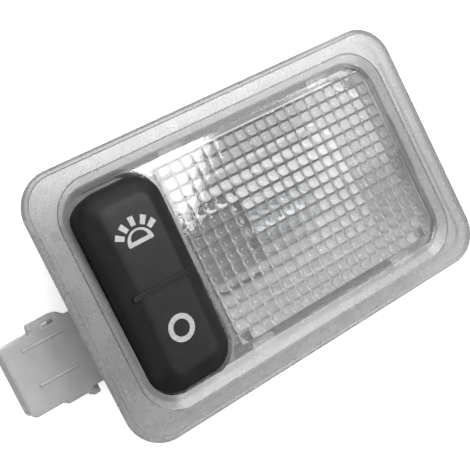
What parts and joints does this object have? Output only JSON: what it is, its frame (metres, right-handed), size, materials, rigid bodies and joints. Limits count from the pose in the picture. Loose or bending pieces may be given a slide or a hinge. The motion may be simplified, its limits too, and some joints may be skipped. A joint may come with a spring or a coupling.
{
  "type": "car dome light",
  "caption": "Rectangular car interior light: clear flanged moulding with a prism lens, black rocker switch, side connector, capless bulb and spring clip.",
  "frame": {"origin": "middle of the footprint, connector included, at the height of the base's underside", "axes": "+X from the connector end to the spring clip end, +Y towards the lamp symbol's end of the rocker, +Z out of the lens"},
  "size_m": [0.106, 0.058, 0.0239],
  "materials": {
    "clear_plastic": "clear, faintly grey moulding",
    "rocker_black": "fine satin texture",
    "natural_plastic": "natural acetal",
    "holder_plastic": "dark heat-resistant plastic",
    "white_plastic": "white reflector",
    "spring_steel": "zinc plated",
    "brass": "stamped strip",
    "bulb_glass": "clear",
    "tungsten": "drawn wire"
  },
  "bodies": {
    "housing": {"lens_bezel": "clear_plastic", "base_housing": "clear_plastic", "lamp_strip": "brass", "earth_strip": "brass", "door_strip": "brass", "supply_strip": "brass", "strip_rivets": "brass", "bulb_holder": "holder_plastic", "bulb_glass": "bulb_glass", "bulb_filament": "tungsten", "bulb_leads": "tungsten", "reflector": "white_plastic", "retaining_clip": "spring_steel", "clip_rivet": "spring_steel"},
    "rocker": {"rocker": "rocker_black", "wiper_contact": "brass", "detent_spring": "spring_steel"},
    "plunger": {"detent_plunger": "natural_plastic"}
  },
  "joints": [
    {"name": "rocker_turn", "type": "hinge", "parent": "housing", "child": "rocker", "pos_m": [-0.0224, 0, 0.015], "axis": [-1, 0, 0], "range_deg": [0, 10]},
    {"name": "plunger_slide", "type": "slide", "parent": "rocker", "child": "plunger", "axis": [0, -0.0872, 0.9962], "range_m": [0, 0.0006], "stiffness_N_per_m": 300, "springref_m": -0.001, "deforming": ["detent_spring"]}
  ]
}
